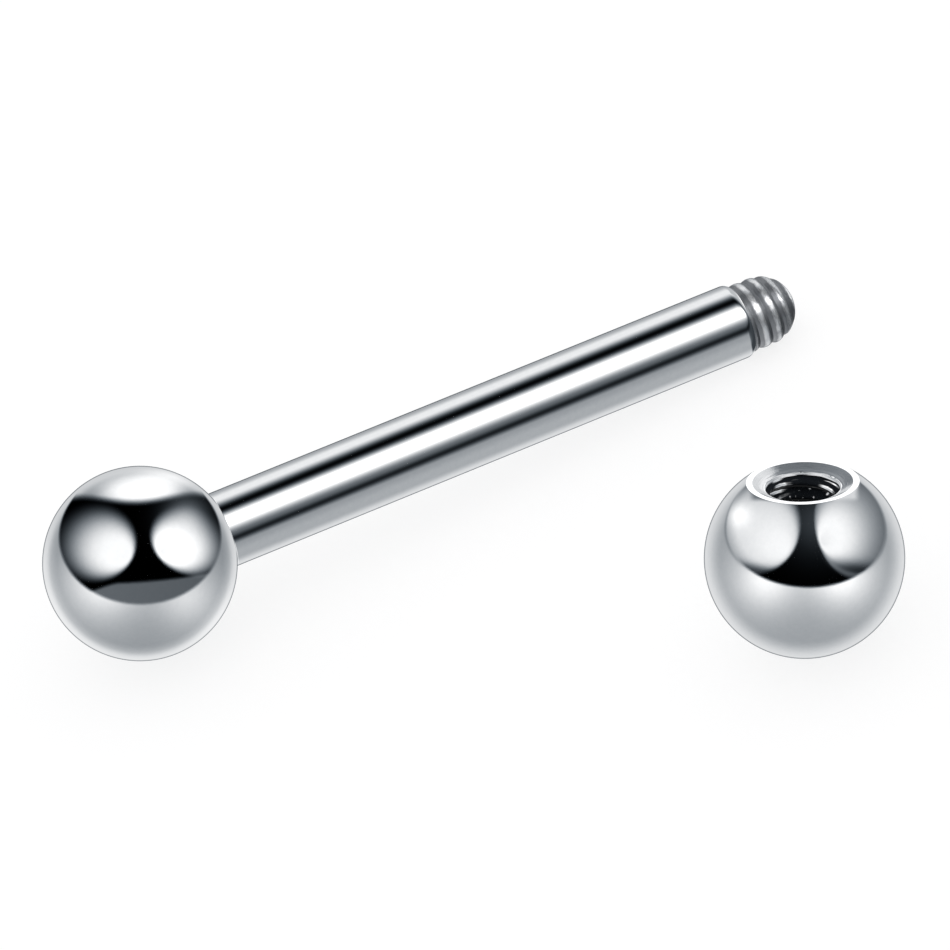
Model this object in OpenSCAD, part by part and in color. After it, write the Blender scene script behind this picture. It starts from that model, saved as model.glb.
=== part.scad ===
// Straight screw-ball barbell, laid open: the ball is off the thread
// and lies beside the bar. Millimetres, floor at z = 0, +X along the bar.

/* [Bar] */
// Bar diameter (14 gauge)
bar_d = 1.6; // [1.5:0.1:2]
// Wearable length, from the fixed ball's face to the shoulder
wear_length = 12; // [8:0.5:20]
// Rounding of the shoulder's edge
shoulder_round = 0.22; // [0.1:0.02:0.3]

/* [Balls] */
// Diameter of both balls
ball_d = 4; // [3.5:0.1:6]
// Width of the flat at the screw ball's mouth
mouth_d = 2.25; // [2.1:0.05:2.5]

/* [Thread] */
// Diameter over the thread's crests
thread_d = 1.47; // [1.4:0.01:1.5]
// Diameter of the core between the ridges
core_d = 1.24; // [1.16:0.02:1.26]
// Pitch of the right-hand thread
thread_pitch = 0.3; // [0.28:0.01:0.35]
// How far the threaded end stands out of the shoulder
stub_length = 1.165; // [1:0.05:1.6]
// Gap between the two threads, measured across the axis
thread_gap = 0.03; // [0.02:0.005:0.05]
// Turn of the thread's start about the bar
thread_start_angle = 184; // [0:1:360]

/* [Screw ball hole] */
// Countersink at the mouth
sink_d = 2; // [1.7:0.05:2.05]
// Depth of the countersink
sink_depth = 0.13; // [0.08:0.01:0.3]
// Depth of the hole below the flat, without its drill point
hole_depth = 2; // [1.6:0.1:2.2]

/* [How the two pieces lie] */
// Screw ball's centre from the fixed ball's centre, along the bar
ball_along = 10.94; // [6:0.01:16]
// Screw ball's centre from the bar's axis, to the front
ball_front = 9.22; // [5:0.01:14]
// Lean of the screw ball's hole from upright
ball_lean = 19.9; // [0:0.1:45]
// Direction of that lean, turned from the bar's own
ball_heading = 30.5; // [-180:0.1:180]

/* [Hidden] */
$fn = 96;
ball_r = ball_d / 2;
bar_r = bar_d / 2;
crest_r = thread_d / 2;
core_r = core_d / 2;
// The bar leaves the ball's surface at this distance from its centre.
joint_z = sqrt(ball_r * ball_r - bar_r * bar_r);
shoulder_z = joint_z + wear_length;
tip_z = shoulder_z + stub_length;
// Rounded end: the crests follow a half ball, the core a smaller one.
crest_dome_z = tip_z - crest_r;
core_dome_z = tip_z - 0.035 - core_r;

// Flat of the mouth, from the ball's centre
mouth_z = sqrt(ball_r * ball_r - mouth_d * mouth_d / 4);
// Thread in the ball: its lands are the pilot bore, its roots clear the crests.
pilot_r = core_r + thread_gap;
root_r = crest_r + thread_gap;
groove_from = mouth_z - hole_depth + 0.3;

// The bar rests on its ball and on the shoulder's rounded edge.
rest_a = shoulder_z - shoulder_round;
rest_b = bar_r - shoulder_round;
bar_dip = asin((ball_r - shoulder_round) / sqrt(rest_a * rest_a + rest_b * rest_b))
        - atan2(rest_b, rest_a);

// Ridge of the thread: half widths at the crest and, per mm below it, the flare
ridge_top = 0.025;
ridge_flare = 0.478;
// Clearance along the axis on each flank
flank_gap = 0.0125;
steps_per_turn = 40;
ridge_from = -0.16;
ridge_to = stub_length - 0.1;

// Box of the two pieces on the floor, so that the origin is its middle
box_x0 = -ball_r;
box_x1 = max(core_dome_z * cos(bar_dip) + core_r, ball_along + ball_r);
box_y0 = -ball_front - ball_r;
box_y1 = ball_r;
bar_at = [-(box_x0 + box_x1) / 2, -(box_y0 + box_y1) / 2, ball_r];
ball_at = bar_at + [ball_along, -ball_front, 0];

// Radius at height z of a cylinder of radius r whose end is a half ball from z0 up
function domed(z, z0, r) = z <= z0 ? r : sqrt(max(0.0025, r * r - (z - z0) * (z - z0)));

// Half width of the ridge at a radius, opened by gap
function ridge_half(r, gap = 0) = ridge_top + (crest_r - r) * ridge_flare + gap;

// A helical rib from sections of four corners [radius, height], one each step.
module rib(sections, step_angle) {
    n = len(sections);
    points = [for (i = [0 : n - 1]) for (p = sections[i])
        [p[0] * cos(i * step_angle), p[0] * sin(i * step_angle), p[1]]];
    sides = [for (i = [0 : n - 2]) for (k = [0 : 3])
        let (a = 4 * i + k, b = 4 * i + (k + 1) % 4)
        each [[a, b + 4, b], [a, a + 4, b + 4]]];
    e = 4 * n - 4;
    ends = [[0, 1, 2], [0, 2, 3], [e, e + 2, e + 1], [e, e + 3, e + 2]];
    polyhedron(points = points, faces = concat(sides, ends), convexity = 8);
}

// Ridge of the post's thread: it comes out of the shoulder and fades into the tip.
function post_section(h) =
    let (fade = min(1, max(0, (ridge_to - h) / 0.12)),
         deep = core_r - 0.04,
         wb = ridge_half(deep) * (0.35 + 0.65 * fade),
         wt = ridge_top,
         z = shoulder_z + h,
         foot_a = domed(z - wb, core_dome_z, deep),
         foot_b = domed(z + wb, core_dome_z, deep),
         rise = 0.2 + 0.8 * fade)
    [[foot_a, z - wb],
     [foot_b, z + wb],
     [foot_b + (domed(z + wt, crest_dome_z, crest_r) - foot_b) * rise, z + wt],
     [foot_a + (domed(z - wt, crest_dome_z, crest_r) - foot_a) * rise, z - wt]];

module post_ridge() {
    dz = thread_pitch / steps_per_turn;
    rotate([0, 0, thread_start_angle])
        rib([for (h = [ridge_from : dz : ridge_to]) post_section(h)], 360 / steps_per_turn);
}

// Half outline of the post about its axis: ball, bar, rounded shoulder, core
module post_outline() {
    intersection() {
        translate([0, -ball_r - 1]) square([ball_r + 1, tip_z + ball_r + 2]);
        union() {
            circle(r = ball_r);
            square([bar_r, shoulder_z - shoulder_round]);
            square([bar_r - shoulder_round, shoulder_z]);
            translate([bar_r - shoulder_round, shoulder_z - shoulder_round]) circle(r = shoulder_round);
            square([core_r, core_dome_z]);
            translate([0, core_dome_z]) circle(r = core_r);
        }
    }
}

// Bar with its fixed ball and its threaded end, one solid, ball centre at the origin
module post() {
    rotate_extrude() post_outline();
    post_ridge();
}

// Groove of the ball's thread, open towards the hole: it runs out near the bottom.
function ball_section(h) =
    let (fade = min(1, max(0, (h - groove_from) / 0.2)),
         r0 = pilot_r - 0.05,
         r1 = r0 + 0.02 + (root_r - r0 - 0.02) * fade,
         w0 = ridge_half(r0, flank_gap),
         w1 = ridge_half(crest_r, flank_gap))
    [[r0, h - w0], [r0, h + w0], [r1, h + w1], [r1, h - w1]];

module ball_groove() {
    dz = thread_pitch / steps_per_turn;
    rib([for (h = [groove_from : dz : mouth_z + 0.2]) ball_section(h)], 360 / steps_per_turn);
}

// Half outline of the drilled hole: countersink, pilot bore, drill point
module hole_outline() {
    polygon([[0, mouth_z + 0.5],
             [sink_d / 2, mouth_z + 0.5],
             [sink_d / 2, mouth_z],
             [root_r - 0.01, mouth_z - sink_depth],
             [pilot_r, mouth_z - sink_depth - 0.06],
             [pilot_r, mouth_z - hole_depth],
             [0, mouth_z - hole_depth - pilot_r * 0.6]]);
}

// Loose ball with the flat and the threaded hole, hole upwards, centre at the origin
module loose_ball() {
    difference() {
        rotate_extrude() intersection() {
            translate([0, -ball_r - 1]) square([ball_r + 1, ball_r + 1 + mouth_z]);
            circle(r = ball_r);
        }
        rotate_extrude() hole_outline();
        ball_groove();
    }
}

module barbell_post() {
    color([0.80, 0.82, 0.84]) translate(bar_at) rotate([0, 90 + bar_dip, 0]) post();
}

module screw_ball() {
    color([0.76, 0.78, 0.80]) translate(ball_at) rotate([0, ball_lean, ball_heading]) loose_ball();
}

barbell_post();
screw_ball();
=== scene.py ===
"""Looks of the straight screw-ball barbell: polished post with its outside thread, loose ball beside it."""
import math

import bpy
import numpy as np
from mathutils import Matrix, Vector


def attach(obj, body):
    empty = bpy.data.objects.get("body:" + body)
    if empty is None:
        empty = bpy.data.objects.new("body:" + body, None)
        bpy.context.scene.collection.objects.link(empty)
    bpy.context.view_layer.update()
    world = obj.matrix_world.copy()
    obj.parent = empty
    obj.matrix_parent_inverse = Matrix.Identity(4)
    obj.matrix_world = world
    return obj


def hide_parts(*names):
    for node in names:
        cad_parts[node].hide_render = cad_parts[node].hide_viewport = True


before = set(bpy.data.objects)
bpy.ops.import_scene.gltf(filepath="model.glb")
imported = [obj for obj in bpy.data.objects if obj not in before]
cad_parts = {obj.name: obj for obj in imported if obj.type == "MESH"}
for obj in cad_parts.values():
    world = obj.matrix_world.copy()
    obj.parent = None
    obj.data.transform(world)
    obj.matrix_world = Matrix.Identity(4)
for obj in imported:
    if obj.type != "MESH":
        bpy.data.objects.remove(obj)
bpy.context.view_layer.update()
scene = bpy.context.scene
MM = 0.001

# ---------------------------------------------------------------- sizes, in mm, as in the part's source
BALL_R, BAR_R, WEAR, ROUND = 2.0, 0.8, 12.0, 0.22
CREST_R, PITCH, STUB, START = 0.735, 0.3, 1.165, 184.0
RIDGE_DEEP = 0.05  # a rolled, slightly worn ridge stands this far out
MOUTH_R, SINK_R, SINK_DEEP, HOLE_DEEP = 1.125, 1.0, 0.13, 2.0
PILOT_R, ROOT_R = 0.65, 0.765
JOINT_Z = math.sqrt(BALL_R**2 - BAR_R**2)
SHOULDER_Z = JOINT_Z + WEAR
TIP_Z = SHOULDER_Z + STUB
MOUTH_Z = math.sqrt(BALL_R**2 - MOUTH_R**2)
DIP, LEAN, HEADING = 5.0668, 19.9, 30.5
BAR_AT = (-6.45349, 4.61, 2.0)
BALL_AT = (4.48651, -4.61, 2.0)
FILLET = 0.012  # where the bar leaves the fixed ball
SEAM_R = BAR_R + FILLET
SEAM_Z = math.sqrt((BALL_R + FILLET) ** 2 - SEAM_R**2)
SEG = 224  # facets round each turned shape

# ---------------------------------------------------------------- camera
RIGHT = np.array([0.88090748, -0.40869643, -0.23868228])
UP = np.array([0.43456578, 0.49866575, 0.74999003])
BACK = np.array([-0.18749557, -0.76439499, 0.61688388])
CAMERA_AT = np.array([-32.2417, -130.2546, 109.0277])


def axes_matrix(right, up, back, at):
    m = Matrix.Identity(4)
    for i in range(3):
        m[i][0], m[i][1], m[i][2], m[i][3] = right[i], up[i], back[i], at[i]
    return m


cam_data = bpy.data.cameras.new("camera")
cam_data.sensor_width = 36.0
cam_data.lens = 8500.0 * 36.0 / 950.0
cam_data.clip_start, cam_data.clip_end = 0.01, 20.0
cam = bpy.data.objects.new("camera", cam_data)
scene.collection.objects.link(cam)
cam.matrix_world = axes_matrix(RIGHT, UP, BACK, CAMERA_AT * MM)
scene.camera = cam
scene.view_settings.view_transform = "Standard"


# ---------------------------------------------------------------- small mathematics
def smooth(a, b, x):
    t = np.clip((x - a) / (b - a), 0, 1)
    return t * t * (3 - 2 * t)


def rot_y(deg):
    c, s = math.cos(math.radians(deg)), math.sin(math.radians(deg))
    return np.array([[c, 0, s], [0, 1, 0], [-s, 0, c]])


def rot_z(deg):
    c, s = math.cos(math.radians(deg)), math.sin(math.radians(deg))
    return np.array([[c, -s, 0], [s, c, 0], [0, 0, 1]])


def wobble(seed, phi, z, amount, turns, waves, count=28):
    """Seeded unevenness that closes round the axis: a sum of slanted waves."""
    rng = np.random.default_rng(seed)
    total = np.zeros(np.broadcast(phi, z).shape)
    for _ in range(count):
        m = int(rng.integers(-turns, turns + 1))
        k = rng.uniform(-1, 1) * waves
        total = total + np.cos(m * phi + k * z + rng.uniform(0, 2 * math.pi))
    return amount * total / math.sqrt(count / 2)


# ---------------------------------------------------------------- turned meshes
PHI = np.arange(SEG) / SEG * 2 * math.pi


class Lathe:
    """Rows of points round the z axis, from one pole or edge to the other."""

    def __init__(self):
        # The third column is painted shade with some grime: it darkens thread grooves, the shoulder's corner and the
        # hole's depths, standing in for their shadow.
        self.rows = []  # (radii, heights, grime, finish of the band that follows)
        self.finish = 0

    def row(self, r, z, shade_and_grime=0.0):
        self.rows.append([np.broadcast_to(q, SEG).astype(float) for q in (r, z, shade_and_grime)] + [self.finish])

    def arc(self, cr, cz, radius, a0, a1, steps, skip_first=False):
        """Arc about (cr, cz) from angle a0 to a1, in degrees from the outward radius towards +z."""
        for i in range(steps + 1):
            if i == 0 and skip_first:
                continue
            a = math.radians(a0 + (a1 - a0) * i / steps)
            self.row(cr + radius * math.cos(a), cz + radius * math.sin(a))

    def line(self, r0, z0, r1, z1, steps, skip_first=True):
        for i in range(1 if skip_first else 0, steps + 1):
            t = i / steps
            self.row(r0 + (r1 - r0) * t, z0 + (z1 - z0) * t)

    def build(self, name, first_pole, last_pole, turn, at, materials):
        r = np.array([q[0] for q in self.rows])
        z = np.array([q[1] for q in self.rows])
        n = len(self.rows)
        local = np.stack([r * np.cos(PHI), r * np.sin(PHI), z], -1).reshape(-1, 3)
        run = np.zeros(n)
        run[1:] = np.cumsum(np.hypot(np.diff(r.mean(1)), np.diff(z.mean(1))))
        runs = np.repeat(run, SEG)
        i, j = np.meshgrid(np.arange(n - 1), np.arange(SEG), indexing="ij")
        a = i * SEG + j
        b = i * SEG + (j + 1) % SEG
        quads = np.stack([a, b, b + SEG, a + SEG], -1).reshape(-1, 4)
        finish = np.repeat([q[3] for q in self.rows[:-1]], SEG)
        shade_and_grime = np.array([q[2] for q in self.rows]).ravel()
        faces = quads.tolist()
        finish = finish.tolist()
        verts = local
        if first_pole is not None:
            k = len(verts)
            verts = np.vstack([verts, [[0, 0, first_pole]]])
            runs = np.append(runs, 0)
            shade_and_grime = np.append(shade_and_grime, self.rows[0][2].mean())
            faces += [[k, (j + 1) % SEG, j] for j in range(SEG)]
            finish += [self.rows[0][3]] * SEG
        if last_pole is not None:
            k = len(verts)
            verts = np.vstack([verts, [[0, 0, last_pole]]])
            runs = np.append(runs, run[-1])
            shade_and_grime = np.append(shade_and_grime, self.rows[-1][2].mean())
            base = (n - 1) * SEG
            faces += [[k, base + j, base + (j + 1) % SEG] for j in range(SEG)]
            finish += [self.rows[-1][3]] * SEG
        world = (verts @ turn.T + np.array(at)) * MM
        mesh = bpy.data.meshes.new(name)
        mesh.from_pydata(world.tolist(), [], faces)
        mesh.polygons.foreach_set("use_smooth", np.ones(len(faces), bool))
        mesh.polygons.foreach_set("material_index", np.array(finish, np.int32))
        for m in materials:
            mesh.materials.append(m)
        attribute = mesh.attributes.new("lathe_place", "FLOAT_VECTOR", "POINT")
        attribute.data.foreach_set("vector", verts.astype(np.float32).ravel())
        for key, values in (("lathe_run", runs), ("lathe_shade_and_grime", shade_and_grime)):
            attribute = mesh.attributes.new(key, "FLOAT", "POINT")
            attribute.data.foreach_set("value", np.asarray(values, np.float32))
        mesh.update()
        assert not mesh.validate()
        ob = bpy.data.objects.new(name, mesh)
        scene.collection.objects.link(ob)
        # each piece mirrors its own studio only, so the pieces don't show in one another's polish
        ob.visible_glossy = False
        return ob


# ---------------------------------------------------------------- materials
class Tree:
    """Short hand for a node tree."""

    def __init__(self, tree):
        self.tree, self.nodes, self.links = tree, tree.nodes, tree.links
        self.nodes.clear()

    def add(self, kind, inputs=None, **settings):
        n = self.nodes.new(kind)
        for k, v in settings.items():
            setattr(n, k, v)
        for k, v in (inputs or {}).items():
            if isinstance(v, bpy.types.NodeSocket):
                self.links.new(v, n.inputs[k])
            else:
                n.inputs[k].default_value = v
        return n

    def maths(self, op, a, b=0.0, clamp=False):
        return self.add("ShaderNodeMath", {0: a, 1: b}, operation=op, use_clamp=clamp).outputs[0]

    def noise(self, vector, scale, detail=2.0, rough=0.5):
        return self.add("ShaderNodeTexNoise", {"Vector": vector, "Scale": scale, "Detail": detail, "Roughness": rough}).outputs["Fac"]

    def ramp(self, fac, lo, hi, out_lo, out_hi):
        return self.add("ShaderNodeMapRange", {"Value": fac, 1: lo, 2: hi, 3: out_lo, 4: out_hi}, clamp=True).outputs[0]

    def stretch(self, vector, scale):
        return self.add("ShaderNodeVectorMath", {0: vector, 1: scale}, operation="MULTIPLY").outputs[0]


def polished_steel():
    """Mirror polish: faint smudges in the gloss, hairlines along the turning and a trace of tone."""
    mat = bpy.data.materials.new("polished_steel")
    mat.use_nodes = True
    t = Tree(mat.node_tree)
    place = t.add("ShaderNodeAttribute", attribute_name="lathe_place").outputs["Vector"]
    smudge = t.noise(place, 0.9, 4.0, 0.6)
    grain = t.noise(place, 9.0, 3.0, 0.55)
    hair = t.noise(t.stretch(place, (3.0, 3.0, 60.0)), 1.0, 2.0, 0.5)
    rough = t.maths("ADD", t.ramp(smudge, 0.35, 0.75, 0.028, 0.06), t.ramp(hair, 0.62, 0.75, 0.0, 0.02))
    tone = t.add("ShaderNodeMix", {"Factor": t.ramp(grain, 0.3, 0.7, 0.0, 1.0)}, data_type="RGBA")
    tone.inputs[6].default_value = (0.775, 0.785, 0.795, 1)
    tone.inputs[7].default_value = (0.805, 0.812, 0.82, 1)
    bump = t.add("ShaderNodeBump", {"Height": t.maths("ADD", t.maths("MULTIPLY", hair, 0.4), grain), "Strength": 0.012, "Distance": 0.00002})
    shader = t.add(
        "ShaderNodeBsdfPrincipled",
        {"Base Color": tone.outputs[2], "Metallic": 1.0, "Roughness": rough, "Normal": bump.outputs[0]},
    )
    t.links.new(shader.outputs[0], t.add("ShaderNodeOutputMaterial").inputs[0])
    return mat


def cut_steel(name, unshaded, shade_grime_tone, gloss, shade_soil_from, shade_soil_to, mottle, torn_by, ring_by, haze, matt):
    """Metal as the tool left it: bright where unshaded, darkened by painted shade and grime where the lathe attribute
    says so, torn grain, fine rings and a haze.
    """
    mat = bpy.data.materials.new(name)
    mat.use_nodes = True
    t = Tree(mat.node_tree)
    place = t.add("ShaderNodeAttribute", attribute_name="lathe_place").outputs["Vector"]
    run = t.add("ShaderNodeAttribute", attribute_name="lathe_run").outputs["Fac"]
    shade_and_grime = t.add("ShaderNodeAttribute", attribute_name="lathe_shade_and_grime").outputs["Fac"]
    torn = t.noise(place, 12.0, 1.5, 0.5)
    blot = t.noise(place, 4.0, 2.0, 0.5)
    rings = t.add("ShaderNodeTexNoise", {"W": t.maths("MULTIPLY", run, 60.0), "Scale": 1.0, "Detail": 2.0}, noise_dimensions="1D").outputs["Fac"]
    patchy = t.maths("ADD", shade_and_grime, t.maths("MULTIPLY", t.maths("SUBTRACT", t.maths("ADD", torn, blot), 1.0), mottle))
    shade_and_soil = t.ramp(patchy, shade_soil_from, shade_soil_to, 0.0, 1.0)
    tone = t.add("ShaderNodeMix", {"Factor": shade_and_soil}, data_type="RGBA")
    tone.inputs[6].default_value = (*unshaded, 1)
    tone.inputs[7].default_value = (*shade_grime_tone, 1)
    rough = t.maths("ADD", t.ramp(blot, 0.3, 0.7, gloss[0], gloss[1]), t.maths("MULTIPLY", shade_and_soil, gloss[2]))
    height = t.maths("ADD", t.maths("MULTIPLY", torn, torn_by), t.maths("MULTIPLY", rings, ring_by))
    bump = t.add("ShaderNodeBump", {"Height": height, "Strength": 1.0, "Distance": 0.00001})
    glossy = t.add(
        "ShaderNodeBsdfPrincipled",
        {"Base Color": tone.outputs[2], "Metallic": 1.0, "Roughness": rough, "Normal": bump.outputs[0]},
    ).outputs[0]
    hazy = t.add(
        "ShaderNodeBsdfPrincipled",
        {"Base Color": tone.outputs[2], "Metallic": 1.0, "Roughness": 0.68, "Normal": bump.outputs[0]},
    ).outputs[0]
    metal = t.add("ShaderNodeMixShader", {0: haze, 1: glossy, 2: hazy}).outputs[0]
    if matt:
        # where the mask is thick, a dark matt coat hides the metal altogether: painted shadow, standing in for the dark
        # deep in the hole
        shade_coat = t.add("ShaderNodeBsdfDiffuse", {"Color": (*shade_grime_tone, 1)}).outputs[0]
        metal = t.add("ShaderNodeMixShader", {0: t.ramp(patchy, shade_soil_from, shade_soil_to, 0.0, matt), 1: metal, 2: shade_coat}).outputs[0]
    t.links.new(metal, t.add("ShaderNodeOutputMaterial").inputs[0])
    return mat


MIRROR = polished_steel()
# The second tone is painted shade: with some grime in the thread's grooves, and near-black with a matt coat in the
# bore.
THREAD = cut_steel("threaded_steel", (0.84, 0.845, 0.855), (0.25, 0.258, 0.272), (0.15, 0.21, 0.20), 0.02, 0.24, 0.22, 0.14, 0.06, 0.42, 0.0)
TURNED = cut_steel("turned_steel", (0.77, 0.778, 0.79), (0.3, 0.31, 0.32), (0.07, 0.11, 0.1), 0.4, 0.9, 0.3, 0.12, 0.1, 0.08, 0.0)
BORED = cut_steel("bored_steel", (0.97, 0.975, 0.98), (0.011, 0.013, 0.016), (0.05, 0.08, 0.10), 0.05, 0.80, 0.45, 0.10, 0.0, 0.0, 0.93)


# ---------------------------------------------------------------- post: fixed ball, then bar with rounded shoulder and thread
def groove_depth(h, phi):
    """How far the rope-like ridge falls below its crest, h mm past the shoulder."""
    u = (h + 0.16) / PITCH - (np.degrees(phi) - START) / 360.0
    u = u - np.round(u)
    return RIDGE_DEEP * np.abs(2 * u) ** 2.0


def make_fixed_ball():
    """Ball with the small fillet round the bar's foot, and a spigot that ends inside the bar."""
    s = Lathe()
    meet = math.degrees(math.atan2(SEAM_Z, SEAM_R))
    s.arc(0, 0, BALL_R, -90 + 1.0, meet, 128)
    s.arc(SEAM_R, SEAM_Z, FILLET, meet + 180, 180, 7, skip_first=True)
    s.row(BAR_R - 0.02, SEAM_Z + 0.002)
    s.row(BAR_R - 0.02, SEAM_Z + 0.25)
    s.row(0.4, SEAM_Z + 0.25)
    return s.build("barbell_post_ball", -BALL_R, SEAM_Z + 0.25, rot_y(90 + DIP), BAR_AT, [MIRROR])


def make_bar():
    s = Lathe()
    foot = SEAM_Z - 0.004
    s.row(0.4, foot)
    s.row(BAR_R - 0.003, foot)
    s.row(BAR_R, foot + 0.003)
    top = SHOULDER_Z - ROUND
    for z in np.concatenate([[foot + 0.02], np.linspace(foot + 0.3, top - 0.3, 24), [top - 0.04, top - 0.01]]):
        s.row(BAR_R, z)
    # rounded shoulder, down to where each bit of the thread comes out of it
    hs = np.linspace(-ROUND, 0, 1201)
    arc_r = BAR_R - ROUND + np.sqrt(np.maximum(ROUND**2 - (hs + ROUND) ** 2, 0))
    start = np.array([hs[np.argmax(arc_r <= CREST_R - 0.014 - 0.5 * groove_depth(hs, p))] for p in PHI])
    end_angle = np.arcsin(np.clip((start + ROUND) / ROUND, 0, 1))
    for i in range(15):
        if i == 14:
            s.finish = 1
        a = end_angle * i / 14
        # the last shoulder row starts the thread's band fully shaded: painted shade in the corner at the shoulder
        s.row(BAR_R - ROUND + ROUND * np.cos(a), top + ROUND * np.sin(a), 1.0 if i == 14 else 0.0)
    # thread: cylinder part with a relief next to the shoulder, then the rounded end
    dome_h = STUB - CREST_R
    turns = 58
    for i in range(1, turns + 1):
        h = start + (dome_h - start) * i / turns
        near = 1 - smooth(0.0, 0.055, h - start)
        deep = groove_depth(h, PHI) * (1 - 0.5 * (1 - smooth(0.0, 0.12, h - start)))
        rough = wobble(3, PHI, h, 0.0008, 30, 40)
        # painted shade with some grime: the grooves darken with their depth, and the relief next to the shoulder is
        # dark
        s.row(CREST_R - deep - 0.014 * near + rough * (1 - near), SHOULDER_Z + h, np.maximum(deep / RIDGE_DEEP, 0.85 * near))
    for i in range(1, 60):
        b = math.radians(90.0 * i / 60)
        h = dome_h + CREST_R * math.sin(b)
        deep = groove_depth(h, PHI)
        fade = 1 - smooth(0.65, 1.05, h)
        rr = CREST_R - 0.015 * math.sin(b) ** 2 - deep * fade + wobble(3, PHI, h, 0.0008, 30, 40) * (1 - smooth(0.9, 1.1, h))
        # the grooves' painted shade fades out towards the tip
        s.row(rr * math.cos(b), SHOULDER_Z + dome_h + rr * math.sin(b), deep / RIDGE_DEEP * (1 - smooth(1.08, 1.15, h)))
    return s.build("barbell_post_bar", foot, TIP_Z - 0.015, rot_y(90 + DIP), BAR_AT, [MIRROR, THREAD])


# ---------------------------------------------------------------- loose ball: sphere, flat, countersink, threaded hole
GROOVE_FROM = MOUTH_Z - HOLE_DEEP + 0.3


def hole_radius(z, phi):
    """Wall of the threaded hole: lands at the pilot bore, rounded grooves that clear the post's ridge."""
    u = (z - GROOVE_FROM) / PITCH - phi / (2 * math.pi)
    u = u - np.round(u)
    groove = (ROOT_R - PILOT_R) * (0.5 + 0.5 * np.cos(2 * math.pi * u))
    return PILOT_R + groove * smooth(GROOVE_FROM, GROOVE_FROM + 0.2, z)


def hole_painted_shade(phi, z, rim=None):
    """Painted shade on the hole's thread: its flanks and its depths go dark as if in shadow. Patches on two sides near
    the mouth, a few specks and streaks, and the rim are left unshaded, placed where glints show.
    """
    around = np.degrees(phi)
    u = (z - GROOVE_FROM) / PITCH - phi / (2 * math.pi)
    # painted shade by facing: only a band of flank facings is left unshaded
    up = -np.sin(2 * math.pi * u)
    band = smooth(-0.45, -0.15, up) * (1 - smooth(0.68, 0.9, up)) if rim is None else rim
    spread = 1.0 if rim is None else 0.75
    glint_patches = 0
    # two glint patches: unshaded places set where highlights show, a painted highlight
    for at, wide in ((-13.0, 15.0), (79.0, 13.0)):
        gap = (around - at + 180) % 360 - 180
        glint_patches = glint_patches + 1.25 * np.exp(-((gap / wide / spread) ** 2)) + 0.3 * np.exp(-((gap / 32.0) ** 2))
    glint_patches = glint_patches * (1 - 0.85 * smooth(MOUTH_Z - 0.42, MOUTH_Z - 0.52, z))
    glint_specks = smooth(1.1, 1.9, wobble(21, phi, z, 1.0, 60, 30)) * smooth(MOUTH_Z - 0.38, MOUTH_Z - 0.48, z)
    streaks = 0.38 * smooth(0.5, 1.7, wobble(22, phi, z, 1.0, 5, 140))
    unshaded = np.clip(band * (glint_patches + 0.55 * glint_specks) + streaks * (rim is None), 0, 1)
    # painted shade: below about 0.7 mm into the hole everything is dark
    return 1 - unshaded * (1 - smooth(MOUTH_Z - 0.7, MOUTH_Z - 0.9, z))


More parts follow.
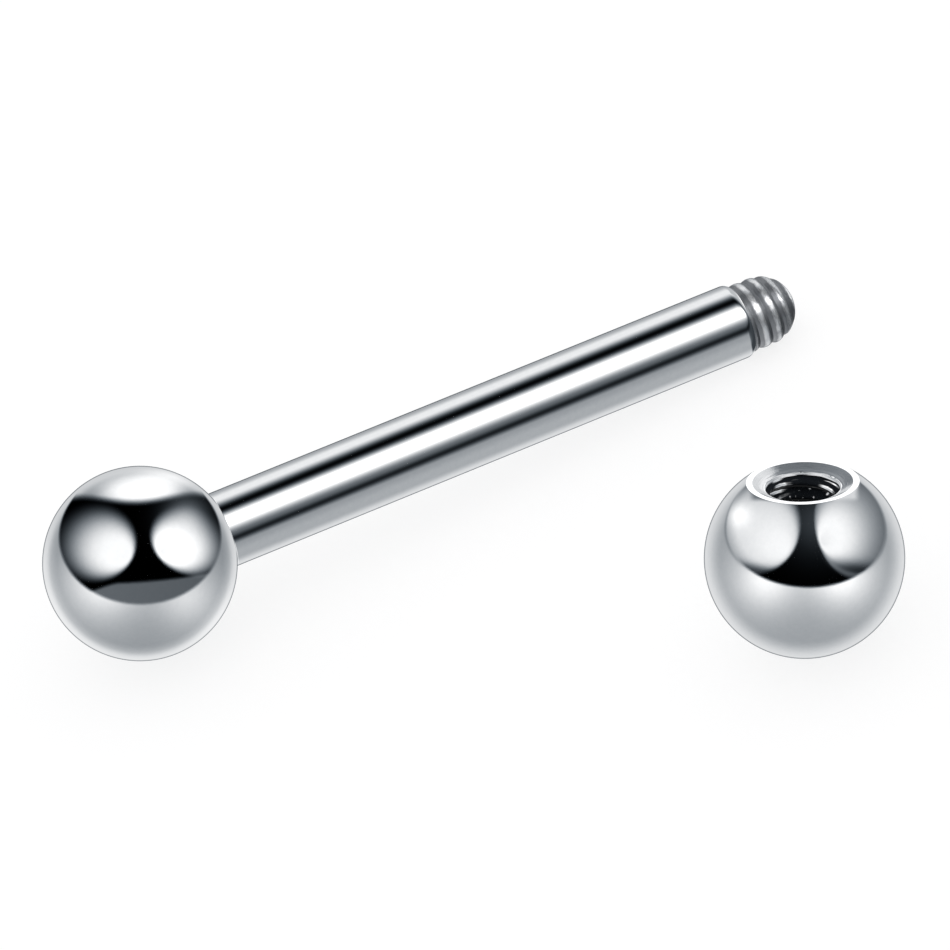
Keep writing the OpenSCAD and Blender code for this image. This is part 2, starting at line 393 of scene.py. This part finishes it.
def make_ball():
    s = Lathe()
    edge = 0.011
    cz = MOUTH_Z - edge
    cr = math.sqrt((BALL_R - edge) ** 2 - cz**2)
    meet = math.degrees(math.atan2(cz, cr))
    s.arc(0, 0, BALL_R, -90 + 1.0, meet, 118)
    s.arc(cr, cz, edge, meet, 90, 6, skip_first=True)
    s.finish = 1
    slope = math.degrees(math.atan2(SINK_DEEP, SINK_R - 0.755))
    lip = 0.006
    flat_to = SINK_R + lip * math.tan(math.radians(slope / 2))
    s.line(cr, MOUTH_Z, flat_to, MOUTH_Z, 4)
    # small rounding into the countersink, then its cone
    s.arc(flat_to, MOUTH_Z - lip, lip, 90, 90 + slope, 4, skip_first=True)
    r0 = flat_to - lip * math.sin(math.radians(slope))
    z0 = MOUTH_Z - lip + lip * math.cos(math.radians(slope))
    for i in range(1, 19):
        t = i / 18
        r = r0 + (0.775 - r0) * t
        z = z0 - (r0 - r) * math.tan(math.radians(slope))
        z = z + 0.008 * smooth(0.865, 0.775, r)
        s.row(r, z + wobble(11, PHI, r * 9, 0.0005, 12, 40) * smooth(0.96, 0.88, r))
    z_in = z0 - (r0 - 0.775) * math.tan(math.radians(slope)) + 0.008
    # burr thrown up round the hole's edge, with two nicks at the back
    ragged = 0.005 + np.maximum(wobble(5, PHI, 0.0, 0.0014, 20, 0), -0.003)
    nick = np.zeros(SEG)
    for at, wide in ((38.0, 3.0), (343.5, 4.5)):
        gap = (np.degrees(PHI) - at + 180) % 360 - 180
        nick = nick + np.exp(-((gap / wide) ** 2))
    for r, up in ((0.766, 0.45), (0.762, 0.9), (0.757, 1.0), (0.752, 0.75)):
        s.row(r, z_in - (0.775 - r) * 0.5 + ragged * up - 0.022 * nick * up)
    # the burr's inner face is bright and stands nearly along the hole
    z_edge = z_in - 0.023 * 0.5
    for r, dz in ((0.7490, -0.005), (0.7482, -0.010), (0.7488, -0.024), (0.7496, -0.038), (0.7485, -0.043)):
        s.row(r + wobble(13, PHI, 0.0, 0.0004, 20, 0), z_edge + dz + ragged * 0.5)
    s.finish = 2
    # chamfer: painted shade on its lower part, its upper part left unshaded at the glint patches
    chamfer = [(0.744, -0.048), (0.737, -0.055), (0.728, -0.063), (0.714, -0.075), (0.700, -0.086), (0.684, -0.096), (0.668, -0.105), (0.655, -0.111)]
    for r, dz in chamfer:
        z = z_edge + dz
        s.row(np.maximum(r, hole_radius(z, PHI)) if r < 0.735 else r, z + ragged * 0.3 * (r > 0.73), smooth(0.7455, 0.738, r) * hole_painted_shade(PHI, z, 1 - smooth(0.068, 0.084, -dz)))
    # the threaded wall takes the hole's painted shade row by row
    z = z_edge - 0.12
    bottom = MOUTH_Z - HOLE_DEEP
    while z > bottom + 0.01:
        r = np.maximum(PILOT_R, hole_radius(z, PHI)) + wobble(9, PHI, z, 0.0006, 30, 40) * smooth(z_edge - 0.12, z_edge - 0.24, z)
        s.row(r, z, hole_painted_shade(PHI, z))
        z -= 0.0125 if z > MOUTH_Z - 1.2 else 0.022
    # painted shade: the bottom of the hole and its drill point are fully dark
    s.row(PILOT_R, bottom, 1.0)
    for i in range(1, 10):
        t = i / 10
        s.row(PILOT_R * (1 - t), bottom - PILOT_R * 0.6 * t, 1.0)
    return s.build("screw_ball_polished", -BALL_R, bottom - PILOT_R * 0.6, rot_z(HEADING) @ rot_y(LEAN), BALL_AT, [MIRROR, TURNED, BORED])


fixed_ball = make_fixed_ball()
bar = make_bar()
ball = make_ball()
for piece, node in ((fixed_ball, "barbell_post"), (bar, "barbell_post"), (ball, "screw_ball")):
    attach(piece, "root")
    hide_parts(node)


# ---------------------------------------------------------------- studio: what the polish mirrors
# A direction is given by (u, v), where it shows on a mirror ball's disc: u to the right, v up, the rim at 1.
def blob(u, v, x, y, size, gain):
    return gain * np.exp(-((u - x) ** 2 + (v - y) ** 2) / size**2)


def softbox(u, v, b):
    """Round glow of a box whose bright spot lies off its middle: sharp edge on that side, long fall-off on the other."""
    c, s = math.cos(b["turn"]), math.sin(b["turn"])
    x = ((u - b["at"][0]) * c + (v - b["at"][1]) * s) / b["half"][0]
    y = (-(u - b["at"][0]) * s + (v - b["at"][1]) * c) / b["half"][1]
    fx, fy = b["spot"]
    dx, dy = x - fx, y - fy
    aa = dx * dx + dy * dy + 1e-9
    bb = fx * dx + fy * dy
    cc = fx * fx + fy * fy - 1
    k = (-bb + np.sqrt(np.maximum(bb * bb - aa * cc, 0))) / aa
    t = np.clip(1 / k, 0, 1)
    g = b["glow"]
    steps = (g[0], g[0], g[1], g[2], g[3], 0.0)
    return sum(math.comb(5, i) * steps[i] * t**i * (1 - t) ** (5 - i) for i in range(6))


def above_table(u, v, normal):
    w = np.sqrt(np.clip(1 - u * u - v * v, 1e-6, 1))
    a, b = normal
    c = math.sqrt(max(1 - a * a - b * b, 0))
    return a * 2 * w * u + b * 2 * w * v + c * (2 * w * w - 1)


def on_disc(d):
    half = d + np.array([0, 0, 1.0])
    half = half / np.maximum(np.linalg.norm(half, axis=1), 1e-6)[:, None]
    return half[:, 0], half[:, 1], np.minimum(np.hypot(half[:, 0], half[:, 1]), 0.9999)


def studio_fixed_ball(d):
    """Two round boxes over a dark room, a grey strip below them, a pale table in front and a bright ceiling."""
    u, v, rho = on_disc(d)
    left = softbox(u, v, {"at": (-0.471, 0.216), "half": (0.456, 0.430), "spot": (0.617, -0.587), "turn": 0.303, "glow": (0.994, 1.06, 1.074, 0.0)})
    right = softbox(u, v, {"at": (0.519, 0.229), "half": (0.456, 0.364), "spot": (-0.439, -0.682), "turn": -0.512, "glow": (0.991, 1.211, 1.354, 0.0)})
    boxes = np.clip(left + right, 0, 1)
    edge = -0.188 + 0.069 * u + 0.077 * u * u - 0.101 * (1 - smooth(-0.62, -0.2, u))
    strip = (0.38 - 0.042 * u) * (1 - smooth(-0.025, 0.025, v - edge))
    dark = np.minimum(left + right, 1.02) + (strip + blob(u, v, 0.473, 0.459, 0.214, 0.5)) * (1 - boxes)
    light = 0.547 - 0.054 * v + blob(u, v, -0.364, -0.154, 0.403, 0.47) + blob(u, v, 0.478, -0.314, 0.336, 0.30)
    light = light + 0.232 * smooth(0.83, 1.0, rho) + 0.08 * smooth(0.90, 0.96, rho)
    du = u - 0.055
    light = light + 0.545 * np.exp(-((du / np.where(du < 0, 0.472, 0.403)) ** 2 + ((v - 0.749 - 0.047 * du) / 0.18) ** 2) ** 2.2)
    ceiling = smooth(-0.05, 0.05, v - (0.626 + 0.056 * u + 0.406 * u**2 - 0.092 * u**3 - 0.6156 * u**4))
    table = 1 - smooth(-0.06, 0.06, above_table(u, v, (0.005, 0.622)) + 0.122 + 0.395 * v)
    m = np.maximum(table, ceiling)
    value = dark * (1 - m) + light * m
    return value * (1 - 0.44 * smooth(0.985, 0.998, rho))


def studio_loose_ball(d):
    """The same room seen from the loose ball: larger boxes, no strip, and the ceiling just at the rim."""
    u, v, rho = on_disc(d)
    left = softbox(u, v, {"at": (-0.577, 0.381), "half": (0.547, 0.580), "spot": (0.367, -0.806), "turn": 0.483, "glow": (1.36, 0.06, 1.908, 0.01)})
    right = softbox(u, v, {"at": (0.524, 0.345), "half": (0.429, 0.579), "spot": (-0.885, -0.228), "turn": 0.138, "glow": (0.928, 1.429, 0.131, 0.74)})
    left = np.minimum(left, 0.85) + 0.133 * (1 - np.exp(-np.maximum(left - 0.85, 0) / 0.133))
    over = above_table(u, v, (0.038, 0.8195)) - 0.028
    left = left * (1 - 0.131 * (1 - smooth(0.0, 0.254, over))) + blob(u, v, -0.671, 0.434, 0.127, 0.237)
    # both boxes stand on a darker sill
    left = left * (1 - 0.576 * np.exp(-(((u + 0.875) / 1.112) ** 2) - ((v + 0.05 + 0.172 * (u + 0.875)) / 0.057) ** 2))
    right = right * (1 - 0.70 * np.exp(-(((u - 0.541) / 0.376) ** 2) - ((v + 0.13 + 0.105 * (u - 0.541)) / 0.088) ** 2))
    glint = np.exp(-(((np.hypot(u - 0.557, v - 0.282) / 0.45 - 1) / 0.06) ** 2)) * smooth(0.0, 0.3, u) * (1 - smooth(-0.1, 0.1, v))
    right = right + 0.15 * glint
    dark = np.maximum(left, right) + blob(u, v, 0.124, 0.359, 0.33, 0.215) * (1 - np.clip(left + right, 0, 1))
    light = 0.619 - 0.01 * v + blob(u, v, -0.379, -0.192, 0.32, 0.396) + blob(u, v, 0.361, -0.157, 0.322, 0.454)
    light = light + 0.246 * smooth(0.815, 1.0, rho)
    m = 1 - smooth(-0.04, 0.04, over)
    value = dark * (1 - m) + light * m - 0.1 * np.exp(-(((over + 0.026) / 0.03) ** 2)) * smooth(0.5, 0.7, np.abs(u))
    # above the mouth: a grey ceiling, brighter on the left side of the countersink, and one white panel for the flat
    over_mouth = smooth(0.55, 0.61, v) * (1 - smooth(0.48, 0.56, np.abs(u))) * (1 - smooth(0.945, 0.97, rho))
    grey = 0.425 + 0.42 * smooth(0.20, 0.31, u) + 0.04 * smooth(-0.1, -0.35, u) + 0.13 * smooth(0.66, 0.78, v) * (1 - smooth(0.34, 0.46, np.abs(u)))
    value = value * (1 - over_mouth) + grey * over_mouth
    panel = smooth(0.965, 0.982, d @ np.array([-0.0157, 0.7228, -0.6909]))
    value = value * (1 - panel) + 1.12 * panel
    return value * (1 - 0.44 * smooth(0.985, 0.998, rho))


def studio_bar(d, axis):
    """Long strip lights parallel to the bar. x is where they show across it, -1 at its upper edge and 1 at its lower."""
    front = np.array([0, 0, 1.0]) - axis[2] * axis
    front = front / np.linalg.norm(front)
    side = np.cross(front, axis)
    side = side * math.copysign(1.0, side[1])
    x = -np.sin(0.5 * np.arctan2(d @ side, d @ front))
    along = d @ axis
    value = 0.65 + 0.28 * smooth(-0.97, -0.82, x)
    value = value - 0.91 * smooth(-0.76, -0.50, x)
    value = value + 0.97 * smooth(-0.50, -0.27, x)
    value = value - 0.62 * smooth(-0.07, 0.21, x)
    value = value - 0.26 * smooth(0.18, 0.31, x)
    value = value + 0.48 * smooth(0.30, 0.47, x) + 0.08 * smooth(0.42, 0.68, x) + 0.20 * smooth(0.78, 0.96, x)
    value = value + 0.50 * np.exp(-(((x + 0.15) / 0.11) ** 2))
    # below, the thread's flanks find a lighter room towards the ball and a darker one towards the tip
    lower = smooth(0.15, 0.40, x)
    value = value * (1 - 0.4 * smooth(0.36, 0.60, along) * lower) + 0.24 * smooth(0.16, -0.12, along) * lower
    # the strips end: towards the ball in a dim wall, towards the tip in a grey one
    wall = 0.60 + 0.10 * lower
    ends = smooth(-0.65, -0.3, along)
    far = 1 - smooth(-0.90, -0.80, along)
    value = value * ends + (wall * (1 - far) + (0.45 + 0.75 * (value - 0.45)) * far) * (1 - ends)
    beyond = smooth(0.45, 0.85, along)
    strip = 0.55 * np.exp(-(((x + 0.2) / 0.22) ** 2)) * (1 - smooth(0.85, 0.98, along))
    value = value * (1 - beyond) + (0.42 - 0.15 * smooth(0.05, 0.40, x) + 0.55 * (value - 0.42) * (1 - smooth(0.95, 1.0, along)) + strip) * beyond
    # behind the tip: a small lamp
    up = d @ side
    behind = smooth(0.05, -0.25, d @ front) * smooth(0.42, 0.55, along)
    lamp = 1.1 * np.exp(-(((along - 0.78) / 0.17) ** 2) - ((up - 0.10) / 0.17) ** 2)
    value = value * (1 - behind) + (0.24 + 0.5 * smooth(0.05, 0.4, up) + lamp) * behind
    return value * (1 - 0.42 * smooth(0.972, 0.985, np.abs(x)) * (1 - smooth(0.3, 0.4, along)))


def to_linear(x):
    x = np.clip(x, 0, None)
    return np.where(x <= 0.04045, x / 12.92, ((x + 0.055) / 1.055) ** 2.4)


def studio_dome(name, centre, radius, pattern, receiver, axis=None):
    """A huge dome about one piece. It lights only that piece's polish and is seen by nothing else."""
    back = CAMERA_AT - np.array(centre)
    back = back / np.linalg.norm(back)
    right = RIGHT - RIGHT.dot(back) * back
    right = right / np.linalg.norm(right)
    up = np.cross(back, right)
    n_lon, n_lat = 360, 180
    lon = np.arange(n_lon) / n_lon * 2 * math.pi
    lat = np.radians(-90 + 180.0 * np.arange(1, n_lat) / n_lat)
    lo, la = np.meshgrid(lon, lat)
    # poles of the grid lie towards +right and -right, away from the detail
    d = np.stack([np.sin(la), np.cos(la) * np.cos(lo), np.cos(la) * np.sin(lo)], -1).reshape(-1, 3)
    d = np.vstack([d, [[-1, 0, 0], [1, 0, 0]]])
    if axis is None:
        shown = pattern(d)
    else:
        shown = pattern(d, np.array([right @ axis, up @ axis, back @ axis]))
    facing = np.sqrt(1 - on_disc(d)[2] ** 2)
    mirror = 0.80 + 0.20 * (1 - facing) ** 5
    level = to_linear(shown) / mirror
    cool = 0.11 * np.minimum((np.clip(1 - shown, 0, 1) / 0.65) ** 1.5, 1.6)
    colour = np.stack([level * (1 - cool), level, level * (1 + cool), np.ones_like(level)], -1)
    pts = (d @ np.array([right, up, back])) * radius + np.array(centre) * MM
    rows = n_lat - 1
    i, j = np.meshgrid(np.arange(rows - 1), np.arange(n_lon), indexing="ij")
    a, b = i * n_lon + j, i * n_lon + (j + 1) % n_lon
    faces = np.stack([a, b, b + n_lon, a + n_lon], -1).reshape(-1, 4).tolist()
    south, north, last = rows * n_lon, rows * n_lon + 1, (rows - 1) * n_lon
    faces += [[south, (j + 1) % n_lon, j] for j in range(n_lon)]
    faces += [[north, last + j, last + (j + 1) % n_lon] for j in range(n_lon)]
    mesh = bpy.data.meshes.new(name)
    mesh.from_pydata(pts.tolist(), [], faces)
    mesh.polygons.foreach_set("use_smooth", np.ones(len(faces), bool))
    attribute = mesh.attributes.new("glow", "FLOAT_COLOR", "POINT")
    attribute.data.foreach_set("color", colour.astype(np.float32).ravel())
    mat = bpy.data.materials.new(name)
    mat.use_nodes = True
    t = Tree(mat.node_tree)
    glow = t.add("ShaderNodeAttribute", attribute_name="glow").outputs["Color"]
    emit = t.add("ShaderNodeEmission", {"Color": glow, "Strength": 1.0}).outputs[0]
    clear = t.add("ShaderNodeBsdfTransparent").outputs[0]
    both = t.add("ShaderNodeAddShader", {0: emit, 1: clear}).outputs[0]
    t.links.new(both, t.add("ShaderNodeOutputMaterial").inputs[0])
    mat.cycles.emission_sampling = "NONE"
    mesh.materials.append(mat)
    ob = bpy.data.objects.new(name, mesh)
    scene.collection.objects.link(ob)
    ob.visible_camera = ob.visible_diffuse = ob.visible_transmission = False
    ob.visible_shadow = ob.visible_volume_scatter = False
    lit = bpy.data.collections.new("lit_by_" + name)
    lit.objects.link(receiver)
    ob.light_linking.receiver_collection = lit


BAR_WAY = rot_y(90 + DIP) @ np.array([0, 0, 1.0])
studio_dome("studio_for_fixed_ball", BAR_AT, 2.0, studio_fixed_ball, fixed_ball)
studio_dome("studio_for_bar", np.array(BAR_AT) + BAR_WAY * 8, 2.25, studio_bar, bar, BAR_WAY)
studio_dome("studio_for_loose_ball", BALL_AT, 2.5, studio_loose_ball, ball)

# ---------------------------------------------------------------- floor and the room's even light
size = 1.5
floor_mesh = bpy.data.meshes.new("floor")
floor_mesh.from_pydata([(-size, -size, 0), (size, -size, 0), (size, size, 0), (-size, size, 0)], [], [(0, 1, 2, 3)])
floor = bpy.data.objects.new("floor", floor_mesh)
scene.collection.objects.link(floor)
floor.visible_glossy = False
floor_mat = bpy.data.materials.new("pale_floor")
floor_mat.use_nodes = True
t = Tree(floor_mat.node_tree)
paint = t.add("ShaderNodeBsdfDiffuse", {"Color": (0.22, 0.22, 0.222, 1)}).outputs[0]
glow = t.add("ShaderNodeEmission", {"Color": (1, 1, 1, 1), "Strength": 0.80}).outputs[0]
t.links.new(t.add("ShaderNodeAddShader", {0: paint, 1: glow}).outputs[0], t.add("ShaderNodeOutputMaterial").inputs[0])
floor_mesh.materials.append(floor_mat)

world = bpy.data.worlds.new("room")
world.use_nodes = True
scene.world = world
t = Tree(world.node_tree)
path = t.add("ShaderNodeLightPath")
seen = t.add("ShaderNodeBackground", {"Color": (1, 1, 1, 1), "Strength": 1.0}).outputs[0]
unseen = t.add("ShaderNodeBackground", {"Color": (0, 0, 0, 1), "Strength": 1.0}).outputs[0]
mix = t.add("ShaderNodeMixShader", {0: path.outputs["Is Glossy Ray"], 1: seen, 2: unseen}).outputs[0]
t.links.new(mix, t.add("ShaderNodeOutputWorld").inputs[0])
